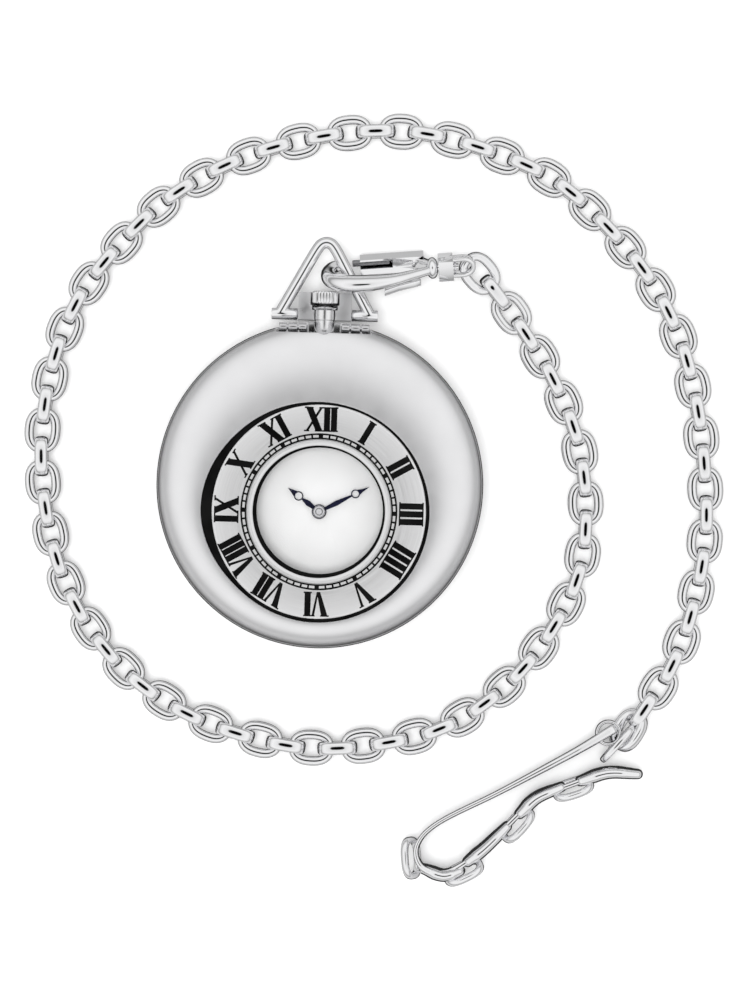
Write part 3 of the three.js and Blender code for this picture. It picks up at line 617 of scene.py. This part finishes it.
def numeral_strokes(text):
    """Outlines of a numeral's strokes, standing on y = 0, with their heights in layers, and its width."""
    h, x, made = NUMERAL_HEIGHT, 0.0, []
    gap = 0.27 if set(text) == {"I"} else 0.14

    def bar_across(x0, x1, y0, y1, layer):
        made.append(([(x0, y0), (x1, y0), (x1, y1), (x0, y1)], layer))

    i = 0
    while i < len(text):
        if text[i] == "I":
            run = len(text[i:]) - len(text[i:].lstrip("I"))
            for k in range(run):
                bar_across(x + k * (STEM + gap), x + k * (STEM + gap) + STEM, 0, h, 3)
            end = x + run * STEM + (run - 1) * gap
            for y in (0, h - SERIF):
                bar_across(x - OVERHANG, end + OVERHANG, y, y + SERIF, 0)
            x, i = end + AFTER_STEM, i + run
            continue
        if text[i] == "X":
            width = 2.65
            made.append(([(x, h), (x + 1.05, h), (x + width, 0), (x + width - 1.05, 0)][::-1], 3))
            made.append(([(x + width - HAIR, h), (x + width, h), (x + HAIR, 0), (x, 0)][::-1], 1))
            for x0, x1, y in ((x - OVERHANG, x + 1.05 + OVERHANG, h - SERIF),
                              (x + width - 0.6, x + width + 0.2, h - SERIF),
                              (x - 0.2, x + 0.6, 0),
                              (x + width - 1.05 - OVERHANG, x + width + OVERHANG, 0)):
                bar_across(x0, x1, y, y + SERIF, 0)
        else:
            width = 2.5
            foot = x + 1.5
            made.append(([(x, h), (x + 1.0, h), (foot + 0.25, 0), (foot - 0.25, 0)][::-1], 3))
            made.append(([(x + width - HAIR, h), (x + width, h), (foot + 0.25, 0), (foot, 0)][::-1], 1))
            for x0, x1 in ((x - OVERHANG, x + 1.0 + OVERHANG), (x + width - 0.5, x + width + 0.25)):
                bar_across(x0, x1, h - SERIF, h, 0)
        x, i = x + width + AFTER_SLANT, i + 1
    return made, x - (AFTER_STEM if text[-1] == "I" else AFTER_SLANT)


strokes = []
for hour, text in enumerate(("XII", "I", "II", "III", "IIII", "V", "VI", "VII", "VIII", "IX", "X", "XI")):
    made, width = numeral_strokes(text)
    angle = math.radians(30 * hour)
    out, right = Vector((math.sin(angle), math.cos(angle))), Vector((math.cos(angle), -math.sin(angle)))
    for outline, layer in made:
        turned = [Vector(WINDOW_CENTRE) + out * (NUMERAL_BASE + y) + right * (x - width / 2)
                  for x, y in outline]
        strokes.append(plate([(p.x, p.y) for p in turned], 13.34, 13.37 + 0.004 * layer))
piece("numerals", together(*strokes), "enamel_black", "lid")

# black ring at the window's edge, drawn off-centre so it is wider towards the lower left: painted shade
gasket = [circle(10.06, 12.6, WINDOW_CENTRE), circle(10.06, 13.33, WINDOW_CENTRE),
          circle(9.62, 13.3, (0.13, -3.95)), circle(9.62, 12.6, (0.13, -3.95))]
piece("window_edge_painted_shade", loft(gasket, closed=True), "enamel_black", "lid")
piece("window_rim", lathe([
    (10.08, 12.8), (10.98, 12.8), (10.98, 13.36), (10.85, 13.48), (10.6, 13.5), (10.5, 13.42), (10.2, 13.3),
    (10.08, 13.3)], WINDOW_CENTRE, 256), "ring_steel", "lid", ["window_bezel"], bevel=0.02)
piece("lid_glass", disc(10.35, 12.35, 12.75, WINDOW_CENTRE), "watch_glass", "lid", ["lid_crystal"],
      bevel=0.06)
piece("dial_glass", disc(19.85, 10.4, 10.95), "watch_glass", "case", ["inner_crystal"],
      bevel=0.1)
piece("dial_bezel", lathe([
    (19.2, 9.05), (22.3, 9.05), (22.3, 9.6), (21.6, 10.4), (20.6, 11.0), (20.0, 11.0), (20.0, 10.35),
    (19.2, 10.35),
]), "band_steel", "case", ["inner_bezel"], bevel=0.1)
dial_bore = disc(1.0, 8, 9, WINDOW_CENTRE, 48)
piece("dial_face", disc(21.8, 8.2, 8.55), "dial_white", "case", ["dial"], bevel=0.04,
      cutters=[dial_bore])


HAND_THICKNESS, BLADE_BOTTOM, BLADE_TOP = 0.2, 0.02, 0.18
HOOP_WALL, BOSS_WALL = 0.17, 0.32


def breguet_hand(name, body, angle, tip, ring_at, ring_radius, half, boss, z, replaces):
    """Slim hand with a hollow ring near its tip, pointing at angle clockwise from twelve."""
    profile = [(boss * 0.6, half * 0.7), ((boss + ring_at) * 0.42, half * 1.35),
               (ring_at - ring_radius, half * 0.5)]
    blade = [(-w, y) for y, w in profile] + [(w, y) for y, w in reversed(profile)]
    point = [(-half * 1.5, ring_at + ring_radius * 0.8), (-half * 0.8, ring_at + ring_radius * 1.7),
             (0, tip),
             (half * 0.8, ring_at + ring_radius * 1.7), (half * 1.5, ring_at + ring_radius * 0.8)]
    hoop = washer(ring_radius - HOOP_WALL, ring_radius, z, z + HAND_THICKNESS, (0, ring_at), 48)
    centre = washer(boss - BOSS_WALL, boss, z, z + HAND_THICKNESS, count=48)
    flats = [plate(outline, z + BLADE_BOTTOM, z + BLADE_TOP) for outline in (blade[::-1], point)]
    turn = Matrix.Translation((*WINDOW_CENTRE, 0)) @ Matrix.Rotation(-angle, 4, "Z")
    piece(name, moved(together(*flats, hoop, centre), turn), "hands_black", body, replaces,
          bevel=0.03)


breguet_hand("hour_pointer", "hour_hand", math.radians(-54), tip=6.0, ring_at=3.95, ring_radius=0.72,
             half=0.32, boss=1.12, z=9.05, replaces=["hour_hand"])
breguet_hand("minute_pointer", "minute_hand", math.radians(62.3), tip=8.6, ring_at=6.2, ring_radius=0.68,
             half=0.29, boss=0.82, z=9.45, replaces=["minute_hand"])
piece("hand_pipe_cap", lathe([
    (0, 9.8), (0.9, 9.8), (0.97, 9.86), (0.95, 10.0), (0.7, 10.12), (0.3, 10.15), (0.22, 10.08), (0, 10.06),
], WINDOW_CENTRE, 64, closed=False), "small_steel", "minute_hand", ["hand_cap"], sharp=60)

# ---- pendant, crown and bow --------------------------------------------------------------------
barrel_profile = [
    (0.6, 22.75), (0.95, 22.82), (1.25, 23.15), (1.4, 23.7), (1.42, 25.2), (1.5, 25.3), (1.5, 26.75),
    (1.65, 26.85), (1.9, 27.05), (1.9, 27.12), (1.6, 27.3), (1.1, 27.45), (0.6, 27.45),
]
piece("pendant_barrel", along_y(lathe(barrel_profile, count=64), 0, STEM_HEIGHT), "satin_steel", "case",
      ["pendant_tube"], sharp=35)
room_profile = [(0, 24), (1.62, 24), (1.62, 26.8), (2.0, 26.8), (2.0, 27.55), (2.25, 27.55), (2.25, 31),
                (0, 31)]
crown_room = along_y(lathe(room_profile, closed=False), 0, STEM_HEIGHT)
piece("pendant_lug", block((-4.07, 4.07), (25.25, 29.5), (4.3, 7.4)), "block_steel", "case",
      ["pendant_block"], bevel=0.08, cutters=[crown_room])

FLUTES = 24
# height along the stem, outer radius, and depth of the flutes there
CROWN_STATIONS = [(27.75, 1.7, 0.0), (27.85, 1.9, 0.04), (28.0, 2.0, 0.22), (29.35, 2.0, 0.22),
                  (29.55, 1.93, 0.1), (29.68, 1.75, 0.0)]
crown_rings = []
for y, outer, depth in CROWN_STATIONS:
    ring = []
    for i in range(FLUTES * 8):
        turn = TAU * i / (FLUTES * 8)
        radius = outer - depth * (0.5 - 0.5 * math.cos(FLUTES * turn)) ** 2
        ring.append((radius * math.cos(turn), radius * math.sin(turn), y))
    crown_rings.append(ring)
piece("crown_knob", along_y(loft(crown_rings), 0, STEM_HEIGHT), "bright_steel", "crown", ["crown"],
      sharp=50)

bow_y, bow_z = BOW_AXIS
half_bow = [(6.94, 0), (5.58, 2.5), (3.67, 6.0), (2.25, 8.6), (1.38, 10.1), (0.75, 10.85)]
bow_points = [(-x, bow_y + y, bow_z) for x, y in half_bow] + [(0, bow_y + 11.1, bow_z)] + [
    (x, bow_y + y, bow_z) for x, y in reversed(half_bow)]
bow_shapes = [sweep(curve(bow_points, 8), BOW_WIRE, sides=32)]
for sign in (-1, 1):
    ends = [(0.5, 4.17), (0.78, 4.17), (BOW_WIRE, 4.25), (BOW_WIRE, 8.05), (0.78, 8.15), (0.5, 8.15)]
    bow_shapes.append(along_x(lathe([(r, sign * x) for r, x in ends], count=48), bow_y, bow_z))
piece("bow_wire", bow_shapes[0], "bright_steel", "bow", ["bow"], sharp=50,
      unions=bow_shapes[1:])
SCREW_PROFILE = [(0, 2.5), (0.4, 2.5), (0.4, 7.7), (0.62, 7.7), (0.62, 8.12), (0, 8.12)]
for name, sign in (("left", -1), ("right", 1)):
    screw = along_x(lathe([(r, sign * x) for r, x in SCREW_PROFILE], count=32, closed=False), bow_y, bow_z)
    slot_cut = block(sorted((sign * 7.98, sign * 8.4)), (bow_y - 0.09, bow_y + 0.09),
                     (bow_z - 0.8, bow_z + 0.8))
    piece(f"bow_bolt_{name}", screw, "small_steel", "case", [f"bow_screw_{name}"],
          bevel=0.04, cutters=[slot_cut])

# ---- snap hook -----------------------------------------------------------------------------------
HOOK_PLACE = (Matrix.Translation(CLIP_CENTRE) @ Matrix.Rotation(CLIP_TURN, 4, "Z")
              @ Matrix.Rotation(CLIP_ROLL, 4, "X"))


def in_hook(shape):
    """From the snap hook's own frame, along X with its ball at the origin, to its place."""
    return moved(shape, HOOK_PLACE)


BOLT_LINE = (-3.6, 0)
arm_path = curve([(-0.3, 0.5, 0.1), (-3.0, 1.8, 0.1), (-6.0, 3.1, 0.1), (-9.5, 3.8, 0.05), (-13.0, 3.6, 0.0),
                  (-15.4, 2.0, 0.0), (-16.0, -0.4, 0), (-15.3, -2.5, 0), (-13.7, -3.5, 0)], 6)
arm = sweep(arm_path, [0.7, 0.85, 1.1, 1.5, 1.6, 1.35, 1.1, 0.95, 0.8],
            [0.65, 0.75, 0.9, 1.2, 1.3, 1.2, 1.1, 0.95, 0.8], sides=28, round_ends=5)
housing = block((-11.0, -1.2), (-4.75, -2.55), (-0.9, 1.55))
shoulder = sweep(curve([(-3.4, -3.6, 0.3), (-1.9, -2.9, 0.3), (-0.3, -0.9, 0.1)], 8), [0.9, 0.9, 0.8],
                 power=3.0)
ball_half = [(0, -0.85), (0.8, -0.82), (1.3, -0.62), (1.6, -0.28)]
ball_profile = ball_half + [(1.66, 0)] + [(r, -x) for r, x in reversed(ball_half)]
ball = along_x(lathe(ball_profile, count=48, closed=False), 0, 0)
stem = along_x(disc(0.55, 0.4, 4.0, count=32), 0, 0)
bolt_slot = block((-11.3, -6.0), (-4.3, -2.3), (-0.62, 0.62))
# the bolt slides back into this bore as far as its travel
bolt_bore = along_x(disc(0.6, -6.3, -3.1, count=32), *BOLT_LINE)
piece("hook_frame", in_hook(arm), "bright_steel", "clip", ["hook_body"], sharp=32,
      unions=[in_hook(s) for s in (housing, shoulder, ball, stem)],
      cutters=[in_hook(bolt_slot), in_hook(bolt_bore)])
# thin black plate at the bottom of the bolt's slot: painted shade in the slot
slot_painted_shade = block((-10.98, -6.05), (-4.34, -4.18), (-0.6, 0.6))
piece("hook_slot_floor", in_hook(slot_painted_shade), "enamel_black", "clip")
bolt = along_x(lathe([(0.34, -12.2), (0.5, -12.1), (0.5, -6.5), (0.34, -6.4)], count=32), *BOLT_LINE)
piece("hook_latch", in_hook(bolt), "shaded_steel", "bolt", ["hook_bolt"], bevel=0.05)
lever_outline = [(-5.4, 2.6), (-2.8, 1.5), (-1.9, 1.1), (-1.9, 0.3), (-2.9, 0.1), (-5.2, 1.5), (-7.4, 2.4),
                 (-7.6, 4.1)]
piece("hook_lever", in_hook(plate(lever_outline, 1.4, 2.4)), "bright_steel", "trigger", ["hook_trigger"],
      bevel=0.2)
spacer = along_x(washer(0.62, 0.95, 3.35, 3.65, count=32), 0, 0)
piece("swivel_spacer", in_hook(spacer), "small_steel", "clip", ["swivel_washer"], bevel=0.05)
COIL_TURNS, COIL_STEPS, COIL_RADIUS = 12, 16, 0.22
COIL_START, COIL_LENGTH = -7.9, 5.2
coil_path = []
for i in range(COIL_TURNS * COIL_STEPS + 1):
    turn = TAU * i / COIL_STEPS
    coil_path.append(Vector((COIL_START + COIL_LENGTH * i / (COIL_TURNS * COIL_STEPS),
                             BOLT_LINE[0] + COIL_RADIUS * math.cos(turn), COIL_RADIUS * math.sin(turn))))
piece("bolt_coil", in_hook(sweep(coil_path, 0.06, up=(1, 0, 0), sides=8)), "small_steel", "clip",
      ["bolt_spring"], sharp=60)

YOKE_PLACE = (Matrix.Translation(CLIP_CENTRE) @ Matrix.Rotation(CLIP_TURN, 4, "Z")
              @ Matrix.Rotation(YOKE_ROLL, 4, "X"))
shank = block((0.95, 3.2), (-1.75, 1.75), (-1.3, 1.3))
shank_bore = along_x(disc(0.64, 0, 4, count=32), 0, 0)
loop_points = [(2.9, -1.42, 0), (5.0, -1.42, 0), (6.0, -0.9, 0), (6.3, 0, 0), (6.0, 0.9, 0), (5.0, 1.42, 0),
               (2.9, 1.42, 0)]
yoke_loop = sweep(curve(loop_points, 5), 0.36, 0.65, power=4.0)
piece("yoke", moved(shank, YOKE_PLACE), "bright_steel", "chain", ["swivel_yoke"], bevel=0.1,
      sharp=50, unions=[moved(yoke_loop, YOKE_PLACE)], cutters=[moved(shank_bore, YOKE_PLACE)])

# ---- end ring and belt hook ------------------------------------------------------------------------
HOOK_MIDDLE = 3.5
RING_CENTRE = (45.4, -36.9)
ring_path = [Vector(p) for p in circle(1.75, HOOK_MIDDLE, RING_CENTRE, 48)]
piece("jump_ring", sweep(ring_path, 0.28, 1.1, closed=True, power=3.5), "bright_steel", "chain",
      ["end_ring"], sharp=50)

HOOK_BACK = [(46.1, -36.35), (41.3, -39.4), (36.5, -42.2), (28.7, -46.6), (19.6, -51.5), (16.5, -55.0),
             (17.2, -58.2), (20.6, -59.3)]
HOOK_FRONT = [(23.7, -57.7), (26.3, -55.6), (28.9, -53.1), (31.4, -50.4), (34.0, -47.9), (36.6, -46.4),
              (40.0, -45.0), (43.1, -43.8), (47.1, -42.8), (49.6, -42.9)]
hook_line = curve([(x, y, HOOK_MIDDLE) for x, y in HOOK_BACK + HOOK_FRONT], 8)
strip = sweep(hook_line, [0.75, 0.62, 0.55, 0.42, 0.38, 0.38, 0.5, 0.7] + [0.45] * 9 + [0.4],
              [2.2, 3.0, 3.45, 3.45, 3.45, 3.45, 3.3, 2.6] + [2.3] * 10, up=(-0.03, 0.052, 1), power=5.0,
              sides=32, round_ends=3)
# cast bars and links stand on the front of the strip, in a row like the chain's own
BARS = [((17.6, -58.6), (20.6, -59.5), (23.2, -58.7)), ((24.3, -57.3), (27.0, -55.0), (30.2, -51.7)),
        ((32.1, -49.7), (34.6, -47.2), (38.4, -45.4)), ((41.3, -44.4), (45.5, -43.0), (50.1, -43.1))]
relief = [sweep(curve([(x, y, HOOK_MIDDLE) for x, y in bar], 10), [0.85, 1.05, 1.0, 0.95, 0.8],
                [2.6, 3.3, 3.3, 3.3, 2.6], power=2.6, sides=24, round_ends=6) for bar in BARS]
CAST_LINK = link(6.6, 5.0, 0.55, 0.5, 0.55, 2.8)
CAST_ROLL = math.radians(-61)
for x, y, heading in ((23.7, -58.9, 27), (31.8, -51.4, 50), (40.2, -45.6, 20), (15.6, -57.0, -84)):
    ahead = Vector((math.cos(math.radians(heading)), math.sin(math.radians(heading)), 0))
    relief.append(moved(CAST_LINK, oriented(Vector((x, y, HOOK_MIDDLE)), ahead, CAST_ROLL)))
piece("belt_clip", together(strip, *relief), "belt_hook_steel", "chain", ["belt_hook"],
      sharp=50)

# the oval link through the ring, and the link that joins it to the chain
oval_place = oriented(Vector((46.9, -38.5, 3.6)), Vector((0.654, 0.756, 0)), math.pi / 2)
oval = moved(link(7.5, 4.8, 0.5, 0.5, 0.5, 2.4), oval_place)
joining_place = oriented(Vector((48.5, -36.4, 3.2)), Vector((-0.5, -0.86, 0)), math.radians(40))
joining = moved(FLAT_LINK, joining_place)
piece("end_links", together(oval, joining), "chain_steel", "chain", sharp=60)

# ---- finishes on the CAD nodes that stay -----------------------------------------------------------
KEPT = {
    "small_steel": ["lid_catch", "lid_hinge_pin_left", "lid_hinge_pin_right", "bridge_screw_1",
                    "bridge_screw_2", "bridge_screw_3", "coil_core", "timing_crystal", "winding_stem",
                    "stator"],
    "plate_steel": ["main_plate", "train_bridge"],
    "wheel_brass": ["cannon_pinion", "hour_wheel", "minute_wheel", "third_wheel", "intermediate_wheel",
                    "battery_clamp"],
    "rotor_magnet": ["rotor"],
    "coil_copper": ["coil"],
    "cell_steel": ["battery"],
    "board_green": ["circuit_board"],
    "chip_black": ["control_chip"],
    "ring_plastic": ["movement_ring"],
    "seal_rubber": ["back_gasket", "crown_gasket"],
}
for finish, names in KEPT.items():
    for name in names:
        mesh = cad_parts[name].data
        mesh.materials.clear()
        mesh.materials.append(materials[finish])

# ---- floor and light ---------------------------------------------------------------------------------
FLOOR_HALF, FLOOR_HEIGHT = 3000.0, -0.02
floor_corners = [(x * FLOOR_HALF, y * FLOOR_HALF, FLOOR_HEIGHT)
                 for x, y in ((-1, -1), (1, -1), (1, 1), (-1, 1))]
floor = mesh_object("floor", (floor_corners, [(0, 1, 2, 3)]), None)
floor.data.materials.append(coated("paper_white", (0.94, 0.94, 0.94), (0.95, 0.95, 0.95), 0.9, 200.0, 0.02))
floor.visible_glossy = False

world = bpy.data.worlds.new("studio")
world.use_nodes = True
scene.world = world
tree = world.node_tree
tree.nodes.clear()
direction = tree.nodes.new("ShaderNodeTexCoord").outputs["Generated"]
parts = tree.nodes.new("ShaderNodeSeparateXYZ")
tree.links.new(direction, parts.inputs[0])
share = tree.nodes.new("ShaderNodeMapRange")
share.inputs["From Min"].default_value = -1.0
tree.links.new(parts.outputs["Z"], share.inputs["Value"])
ramp = tree.nodes.new("ShaderNodeValToRGB")
tree.links.new(share.outputs["Result"], ramp.inputs["Fac"])
# brightness against the upward part of the direction: dark low down and in a small spot overhead
SKY = [(-1.0, 0.03), (-0.74, 0.03), (-0.6, 0.62), (-0.1, 0.72), (0.0, 0.35), (0.12, 0.35), (0.25, 0.66),
       (0.45, 0.86), (0.7, 0.95), (0.9, 0.88), (0.974, 0.8), (0.98, 0.0)]
while len(ramp.color_ramp.elements) < len(SKY):
    ramp.color_ramp.elements.new(0.5)
for element, (at, value) in zip(ramp.color_ramp.elements, SKY):
    element.position = 0.5 + at / 2
    element.color = (value, value, value, 1)
background = tree.nodes.new("ShaderNodeBackground")
tree.links.new(ramp.outputs["Color"], background.inputs["Color"])
output = tree.nodes.new("ShaderNodeOutputWorld")
tree.links.new(background.outputs["Background"], output.inputs["Surface"])

sun_data = bpy.data.lights.new("sun", "SUN")
sun_data.energy = 2.1
sun_data.angle = math.radians(26)
sun = bpy.data.objects.new("sun", sun_data)
sun.rotation_euler = (math.radians(4), math.radians(-3), 0)
sun.visible_glossy = False
scene.collection.objects.link(sun)
